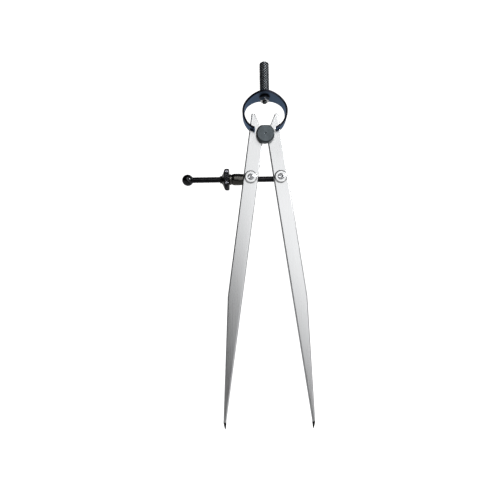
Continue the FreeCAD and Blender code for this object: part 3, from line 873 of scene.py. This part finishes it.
class DIVIDER_OT_legs(PieceOperator, bpy.types.Operator):
    """Breaks the edges of the two legs and brushes their faces"""

    bl_idname = "divider.legs"
    bl_label = "Legs"

    def build(self, context):
        size = sizes()
        for side, name in ((-1, "left_leg"), (1, "right_leg")):
            bm = bmesh.new()
            bm.from_mesh(frame["nodes"][name].data)
            bmesh.ops.remove_doubles(bm, verts=bm.verts, dist=0.002 * MM)
            bmesh.ops.dissolve_limit(
                bm, angle_limit=math.radians(0.5), verts=bm.verts, edges=bm.edges)
            self.slice(bm, size.point_length)
            # the edges are rounded on the full thickness, and the grind is laid over them again
            self.grind(bm, size, -1)
            post = LEFT_POST if side < 0 else RIGHT_POST
            edges = [edge for edge in bm.edges if self.is_outline(edge, post, size.point_length)]
            bmesh.ops.bevel(
                bm, geom=edges, offset=size.leg_edge, offset_type="OFFSET", segments=4,
                profile=0.5, affect="EDGES", clamp_overlap=False)
            self.grind(bm, size, 1)
            self.round_point(bm, size)
            piece = object_from(f"{name}_bar", bm)
            finish = brushed_steel(f"{name}_steel", tuple(colours().steel), side)
            dressed(smoothed(piece, 30), finish)
            finish_piece(piece, name, "leg_steel", name)

    def grind(self, bm, size, power):
        """Thins the end of a leg towards its point, or undoes it with power -1."""
        thin = size.point_thickness / (2 * LEG_FACE)
        for vertex in bm.verts:
            share = thin + (1 - thin) * min(1.0, max(0.0, vertex.co.z) / size.grind_length)
            vertex.co.y *= share ** power

    def slice(self, bm, level):
        """Adds edges round the leg at this level."""
        bmesh.ops.bisect_plane(
            bm, geom=[*bm.verts, *bm.edges, *bm.faces], plane_co=(0, 0, level), plane_no=(0, 0, 1))

    def round_point(self, bm, size):
        """Makes the straight sides of the point full, like a stoned point."""
        top = size.point_slope
        fullness = 0.4
        for share in (0.12, 0.3, 0.6):
            self.slice(bm, top * share)
        tip = min(bm.verts, key=lambda vertex: vertex.co.z).co.copy()
        base = [vertex.co.x for vertex in bm.verts if abs(vertex.co.z - top) < 0.3 * MM]
        lean = (max(base) + min(base)) / 2 - tip.x if base else 0.0
        for vertex in bm.verts:
            share = vertex.co.z / top
            if 0.01 < share < 0.99:
                middle_x = tip.x + lean * share
                vertex.co.x = middle_x + (vertex.co.x - middle_x) * share ** -fullness

    def is_outline(self, edge, post, lowest):
        """An edge round the front or back face, above the point and clear of the stud and the washer."""
        ends = [vertex.co for vertex in edge.verts]
        sharp, slack, face_to_face = math.radians(28), 0.01 * MM, 0.2 * MM
        if len(edge.link_faces) != 2 or edge.calc_face_angle(0) < sharp:
            return False
        if min(end.z for end in ends) < lowest - slack or abs(ends[0].y - ends[1].y) > face_to_face:
            return False
        covered = ((FULCRUM, 5.0 * MM), (post, 2.6 * MM))
        return not any(
            all(math.hypot(end.x - centre.x, end.z - centre.z) < reach for end in ends)
            for centre, reach in covered)


SWIVEL_NECK = 1.6 * MM  # radius of a post where its washer sits


class DIVIDER_OT_swivels(PieceOperator, bpy.types.Operator):
    """Turns the two swivel posts, their riveted heads and their washers"""

    bl_idname = "divider.swivels"
    bl_label = "Swivel Posts and Washers"

    def build(self, context):
        for side, word, place in ((-1, "left", LEFT_POST), (1, "right", RIGHT_POST)):
            self.post(side, word, place)
            self.washer(word, place)

    def post(self, side, word, place):
        """A post: a riveted head in front, a journal in the leg and a drum with the screw's bore behind."""
        low, high = BOXES[f"{word}_swivel_post"]
        head_back = -2.45 * MM
        neck, journal, drum = SWIVEL_NECK, 2.1 * MM, 4.0 * MM
        head = [
            (0, low.y + 0.34 * MM), (0.25 * MM, low.y + 0.16 * MM), (0.5 * MM, low.y + 0.34 * MM),
            (0.85 * MM, low.y + 0.30 * MM), (1.25 * MM, low.y + 0.02 * MM), (1.5 * MM, low.y),
            (1.95 * MM, low.y + 0.22 * MM), (2.2 * MM, head_back), (neck, head_back),
        ]
        body = [
            (neck, -SEAT), (journal, -SEAT), (journal, SEAT), (drum, SEAT), (drum, high.y - 0.5 * MM),
            (drum - 0.5 * MM, high.y), (0.6 * MM, high.y), (0, high.y - 0.35 * MM),
        ]
        profile = rounded(head, 0.12 * MM) + rounded(body, 0.15 * MM)
        piece = turned(f"{word}_post_turned", profile, place, "Y")
        # the sleeve bears on a flat of the left post; the screw is held in the right one
        if side < 0:
            flat, wide, deep = 3.6 * MM, 20 * MM, 10 * MM
            cut_away(piece, box_object(
                "flat_cutter", place + Vector((-flat - deep / 2, SEAT + wide / 2, 0)),
                Vector((deep, wide, wide))))
        free, held = 2.2 * MM, 2.06 * MM
        self.bore(piece, place, drum, free if side < 0 else held)
        finish = turned_metal(
            f"{word}_post_steel", tuple(colours().turned_steel), place,
            roughness=0.28, strength=0.5, pitch=0.3 * MM, spread=0.3)
        dressed(smoothed(piece), finish)
        finish_piece(piece, f"{word}_swivel", "post_steel", f"{word}_swivel_post")

    def bore(self, piece, place, drum, bore):
        """Drills the post for the screw, with both mouths countersunk."""
        rim, outside = bore + 0.3 * MM, 6 * MM
        mouth, throat = drum - 0.25 * MM, drum - 0.55 * MM
        cut_away(piece, turned("bore_cutter", [
            (0, -outside), (rim + 2 * MM, -outside), (rim, -mouth), (bore, -throat),
            (bore, throat), (rim, mouth), (rim + 2 * MM, outside), (0, outside),
        ], Vector((place.x, SCREW_AXIS.y, place.z)), "X"))

    def washer(self, word, place):
        """The bright washer between a post's head and the leg."""
        low, high = BOXES[f"{word}_swivel_washer"]
        outer = (high.x - low.x) / 2
        ring = rounded([
            (SWIVEL_NECK, low.y), (outer - 0.75 * MM, low.y), (outer - 0.1 * MM, low.y + 0.5 * MM),
            (outer, low.y + 0.6 * MM), (outer, high.y), (SWIVEL_NECK, high.y),
        ], 0.15 * MM, True)
        piece = turned(f"{word}_washer_turned", ring, place, "Y", True)
        finish = turned_metal(
            f"{word}_washer_steel", tuple(colours().steel), place,
            roughness=0.26, strength=0.25, pitch=0.3 * MM, spread=0.08)
        dressed(smoothed(piece), finish)
        finish_piece(piece, f"{word}_swivel", "swivel_washer_steel", f"{word}_swivel_washer")


class DIVIDER_OT_screw(PieceOperator, bpy.types.Operator):
    """Cuts the adjusting screw's thread and turns the ball on its end"""

    bl_idname = "divider.screw"
    bl_label = "Adjusting Screw and Ball"

    def build(self, context):
        low, high = BOXES["adjusting_screw"]
        radius = (high.z - low.z) / 2
        self.screw(radius, low.x, high.x)
        self.ball(radius)

    def screw(self, radius, start, end):
        """The screw: a plain core and the ridge of its thread."""
        size = sizes()
        finish = oxide("screw_oxide", tuple(colours().screw), 0.28)
        root = radius - size.thread_depth
        plain = 0.6 * MM
        core = turned("screw_core", rounded([
            (0, start), (root, start), (root, end - 0.3 * MM), (root - 0.3 * MM, end), (0, end),
        ], 0.1 * MM), SCREW_AXIS, "X", segments=48)
        turns = int((end - start - 2 * plain) / size.thread_pitch)
        ridge = grown("screw_ridge", thread_group(), {
            "Radius": radius, "Depth": size.thread_depth * 1.06, "Pitch": size.thread_pitch,
            "Turns": float(turns), "Material": finish,
        })
        first = SCREW_AXIS + Vector((start + plain, 0, 0))
        ridge.data.transform(Matrix.Translation(first) @ AXIS_TURN["X"])
        piece = smoothed(joined("threaded_screw", [core, ridge], finish))
        finish_piece(piece, "right_swivel", "screw_oxide", "adjusting_screw")

    def ball(self, screw_radius):
        """The ball, with a mouth where the screw goes in."""
        low, high = BOXES["ball_knob"]
        radius = (high.z - low.z) / 2
        mouth = screw_radius + 0.02 * MM
        last = math.asin(mouth / radius)
        lip = radius * math.cos(last)
        steps = 40
        profile = [(0, -radius)]
        for step in range(1, steps + 1):
            angle = math.pi - (math.pi - last) * step / steps
            profile.append((radius * math.sin(angle), radius * math.cos(angle)))
        profile += [(mouth - 0.05 * MM, lip - 0.15 * MM), (mouth - 0.05 * MM, 0), (0, 0)]
        piece = turned("ball_turned", profile, SCREW_AXIS + Vector((low.x + radius, 0, 0)), "X")
        dressed(smoothed(piece), oxide("ball_oxide", tuple(colours().black), 0.10, strength=0.03))
        finish_piece(piece, "right_swivel", "ball_oxide", "ball_knob")


class DIVIDER_OT_nut(PieceOperator, bpy.types.Operator):
    """Turns the adjusting nut and rolls the knurl on its rim"""

    bl_idname = "divider.nut"
    bl_label = "Adjusting Nut"

    def build(self, context):
        size = sizes()
        low, high = BOXES["adjusting_nut"]
        left, right = low.x, high.x
        rim = (high.z - low.z) / 2
        rim_width, cone_length, edge = 3.3 * MM, 1.7 * MM, 0.2 * MM
        rim_left = right - rim_width
        cone_left = rim_left - cone_length
        bore, hub = 2.05 * MM, 2.6 * MM
        root = rim - size.knurl_depth
        corners = [
            (bore + 0.2 * MM, right), (4.6 * MM, right), (4.9 * MM, right - 0.15 * MM),
            (root - edge, right - 0.15 * MM), (root, right - edge - 0.1 * MM),
            (root, rim_left + edge), (root - edge, rim_left), (rim * 0.62, rim_left - 0.9 * MM),
            (hub + 0.5 * MM, cone_left), (hub, cone_left - 0.4 * MM), (hub, left),
            (bore + 0.3 * MM, left), (bore, left + 0.3 * MM), (bore, right - 0.2 * MM),
        ]
        # this finish paints shade into the knurl's roots and a highlight onto its crests, beside the crests'
        # wear
        finish = worn_oxide_with_painted_light(
            "nut_oxide", tuple(colours().rim), tuple(colours().crest_wear_and_highlight), "X", SCREW_AXIS, rim,
            size.knurl_depth, 0.24)
        core = turned("nut_core", rounded(corners, 0.12 * MM, True), SCREW_AXIS, "X", True, FINE_SEGMENTS)
        pitch = size.rim_knurl_pitch
        rows = int((rim_width - 2 * edge) / (pitch / 2)) - 1
        span = (rows + 1) * pitch / 2
        knurl = grown("nut_knurl", knurl_group(), {
            "Radius": rim, "Depth": size.knurl_depth, "Around": size.rim_knurl_count,
            "Pitch": pitch, "Rows": rows, "Start": (right + rim_left - span + pitch) / 2,
            "Top": 1.0, "Flat": 0.06, "Material": finish,
        })
        knurl.data.transform(Matrix.Translation(SCREW_AXIS) @ AXIS_TURN["X"])
        piece = smoothed(joined("knurled_nut", [core, knurl], finish))
        finish_piece(piece, "nut", "nut_oxide", "adjusting_nut")


class DIVIDER_OT_sleeve(PieceOperator, bpy.types.Operator):
    """Turns the thrust sleeve between the nut and the left post"""

    bl_idname = "divider.sleeve"
    bl_label = "Thrust Sleeve"

    def build(self, context):
        low, high = BOXES["thrust_sleeve"]
        barrel = (high.z - low.z) / 2
        step = high.x - 9.2 * MM
        neck, bore, edge = 3.7 * MM, 2.2 * MM, 0.2 * MM
        corners = [
            (bore + edge, high.x), (barrel - 0.5 * MM, high.x), (barrel - 0.3 * MM, high.x - 0.3 * MM),
            (barrel - edge, high.x - 2.2 * MM), (barrel, high.x - 4.6 * MM), (barrel, step + 1.6 * MM),
            (barrel - 0.25 * MM, step + edge), (neck - 0.3 * MM, step),
            (neck - 0.45 * MM, step - 0.3 * MM), (neck, step - 0.9 * MM), (neck, low.x + edge),
            (neck - edge, low.x), (bore + edge, low.x), (bore, low.x + edge), (bore, high.x - edge),
        ]
        piece = turned("thrust_sleeve_turned", rounded(corners, 0.15 * MM, True), SCREW_AXIS, "X", True)
        dressed(smoothed(piece), oxide("sleeve_oxide", tuple(colours().sleeve), 0.2, strength=0.04))
        finish_piece(piece, "left_swivel", "sleeve_oxide", "thrust_sleeve")


# Stage

FLOOR_RADIUS = 3.0
DOME_RADIUS = 3.2
# the surround in front: its level by how far a direction points along LIGHT_WAY
LIGHT_WAY = Vector((0.725, 0.0, 0.69))
FRONT_LEVELS = [
    (-1.0, 0.02), (-0.50, 0.02), (-0.36, 0.03), (-0.30, 0.08), (-0.25, 0.15), (-0.20, 0.21), (-0.16, 0.30),
    (-0.13, 0.39), (-0.10, 0.51), (-0.06, 0.69), (-0.02, 0.87), (0.02, 1.00), (0.06, 1.10), (0.12, 1.22),
    (0.18, 1.32), (0.23, 1.14), (0.28, 0.96), (0.34, 0.42), (0.45, 0.42), (1.0, 0.80),
]
# shares of that level from the far left (0) to the far right (1)
SIDE_LEVELS = [(0.35, 0.06), (0.485, 1.0), (0.70, 1.0), (0.82, 0.45)]
FLOOR_LEVEL = 0.26
BEHIND_LEVEL = 0.50
# the share of every level that is left straight above
CEILING_LEVEL = 0.12
# soft boxes: (name, way from the object, width, height, radiance)
SOFT_BOXES = (
    ("window", (0.64, -0.65, 0.41), 0.12, 0.12, 30.0),
    ("strip", (0.02, -0.79, 0.61), 0.30, 0.04, 4.0),
)
BOX_DISTANCE = 0.5
# the camera's place from the fulcrum, its roll in degrees and its lens in millimetres
CAMERA_OFFSET = Vector((-11.3, -215.0, -76.98)) * MM
CAMERA_ROLL = -0.85
CAMERA_LENS = 22.98


class DIVIDER_OT_stage(PieceOperator, bpy.types.Operator):
    """Sets the pale floor, the white surround, the light and the camera"""

    bl_idname = "divider.stage"
    bl_label = "Stage"

    def build(self, context):
        scene = context.scene
        self.surround()
        self.light_world(scene)
        self.soft_boxes(scene)
        self.camera(scene)
        scene.view_settings.view_transform = "Standard"

    def surround(self):
        """Floor and dome, plain white, that neither shade the object nor show in it."""
        bm = bmesh.new()
        bmesh.ops.create_circle(bm, cap_ends=True, radius=FLOOR_RADIUS, segments=96)
        floor = object_from("floor", bm)
        bm = bmesh.new()
        bmesh.ops.create_uvsphere(bm, u_segments=48, v_segments=24, radius=DOME_RADIUS)
        dome = object_from("backdrop", bm)
        white = bpy.data.materials.new("stage_white")
        white.use_nodes = True
        shader = white.node_tree.nodes["Principled BSDF"]
        shader.inputs["Base Color"].default_value = (0.9, 0.9, 0.9, 1)
        shader.inputs["Roughness"].default_value = 0.9
        shader.inputs["Emission Color"].default_value = (1, 1, 1, 1)
        shader.inputs["Emission Strength"].default_value = 1.0
        for piece in (floor, dome):
            dressed(piece, white)
            piece.visible_diffuse = False
            piece.visible_glossy = False
            piece.visible_shadow = False

    def light_world(self, scene):
        """The surround: bright to the upper right, dark to the lower left, a pale floor, and even behind."""
        world = bpy.data.worlds.new("soft_studio")
        scene.world = world
        world.use_nodes = True
        tree = NodeTree(world.node_tree)
        background = world.node_tree.nodes["Background"]
        strongest = max(level for _, level in FRONT_LEVELS)
        where = tree.add("ShaderNodeTexCoord").outputs["Generated"]
        parts = tree.add("ShaderNodeSeparateXYZ", Vector=where).outputs

        along = tree.vector("DOT_PRODUCT", where, LIGHT_WAY)["Value"]
        stops = [((place + 1) / 2, level / strongest) for place, level in FRONT_LEVELS]
        front = ramp(tree, tree.math("MULTIPLY_ADD", along, 0.5, 0.5), stops)
        side = ramp(tree, tree.math("MULTIPLY_ADD", parts["X"], 0.5, 0.5), SIDE_LEVELS)
        front = mixed(tree, 1.0, front, side, "MULTIPLY")
        # the floor reaches higher on the left
        low = tree.math("MULTIPLY_ADD", parts["X"], 0.6, parts["Z"])
        floor = ramp(tree, tree.math("MULTIPLY_ADD", low, 0.5, 0.5), [(0.14, 1.0), (0.21, 0.0)])
        front = mixed(tree, floor, front, self.grey(FLOOR_LEVEL / strongest))
        behind = ramp(tree, parts["Y"], [(0.25, 0.0), (0.6, 1.0)])
        around = mixed(tree, behind, front, self.grey(BEHIND_LEVEL / strongest))
        ceiling = ramp(tree, parts["Z"], [(0.5, 1.0), (0.85, CEILING_LEVEL)])
        tree.feed(background.inputs["Color"], mixed(tree, 1.0, around, ceiling, "MULTIPLY"))
        background.inputs["Strength"].default_value = strongest

    def grey(self, level):
        """A level as a colour."""
        return (level, level, level, 1.0)

    def soft_boxes(self, scene):
        """A small window to the right and a strip above the camera."""
        target = Vector((0, 0, LEFT_POST.z))
        for name, way, width, height, radiance in SOFT_BOXES:
            data = bpy.data.lights.new(name, "AREA")
            data.shape = "RECTANGLE"
            data.size, data.size_y = width, height
            data.energy = radiance * math.pi * width * height
            lamp = bpy.data.objects.new(name, data)
            scene.collection.objects.link(lamp)
            lamp.location = target + Vector(way).normalized() * BOX_DISTANCE
            lamp.rotation_euler = (target - lamp.location).to_track_quat("-Z", "Y").to_euler()

    def camera(self, scene):
        """Close in front of the legs, level, a little to the left of the fulcrum and below it."""
        data = bpy.data.cameras.new("camera")
        data.sensor_width = 36.0
        data.lens = CAMERA_LENS
        data.clip_start = 0.01
        data.clip_end = 20.0
        camera = bpy.data.objects.new("camera", data)
        scene.collection.objects.link(camera)
        camera.matrix_world = (
            Matrix.Translation(FULCRUM + CAMERA_OFFSET) @ Matrix.Rotation(math.radians(90), 4, "X")
            @ Matrix.Rotation(math.radians(CAMERA_ROLL), 4, "Z"))
        scene.camera = camera


OPERATORS = (
    DIVIDER_OT_bow_spring,
    DIVIDER_OT_handle,
    DIVIDER_OT_handle_fastening,
    DIVIDER_OT_fulcrum,
    DIVIDER_OT_legs,
    DIVIDER_OT_swivels,
    DIVIDER_OT_screw,
    DIVIDER_OT_nut,
    DIVIDER_OT_sleeve,
    DIVIDER_OT_stage,
)


class DIVIDER_PT_panel(bpy.types.Panel):
    """Lists the divider's operators and sizes"""

    bl_idname = "DIVIDER_PT_panel"
    bl_label = "Spring Divider"
    bl_space_type = "VIEW_3D"
    bl_region_type = "UI"
    bl_category = "Divider"

    def draw(self, context):
        for operator in OPERATORS:
            self.layout.operator(operator.bl_idname)
        for group in (context.scene.divider_sizes, context.scene.divider_colours):
            box = self.layout.box()
            for name in group.__annotations__:
                box.prop(group, name)


CLASSES = (DividerSizes, DividerColours, *OPERATORS, DIVIDER_PT_panel)


def register():
    for item in CLASSES:
        bpy.utils.register_class(item)
    bpy.types.Scene.divider_sizes = PointerProperty(type=DividerSizes)
    bpy.types.Scene.divider_colours = PointerProperty(type=DividerColours)


def unregister():
    del bpy.types.Scene.divider_colours
    del bpy.types.Scene.divider_sizes
    for item in reversed(CLASSES):
        bpy.utils.unregister_class(item)


def main():
    register()
    for operator in OPERATORS:
        group, name = operator.bl_idname.split(".")
        getattr(getattr(bpy.ops, group), name)()


if __name__ == "__main__":
    main()
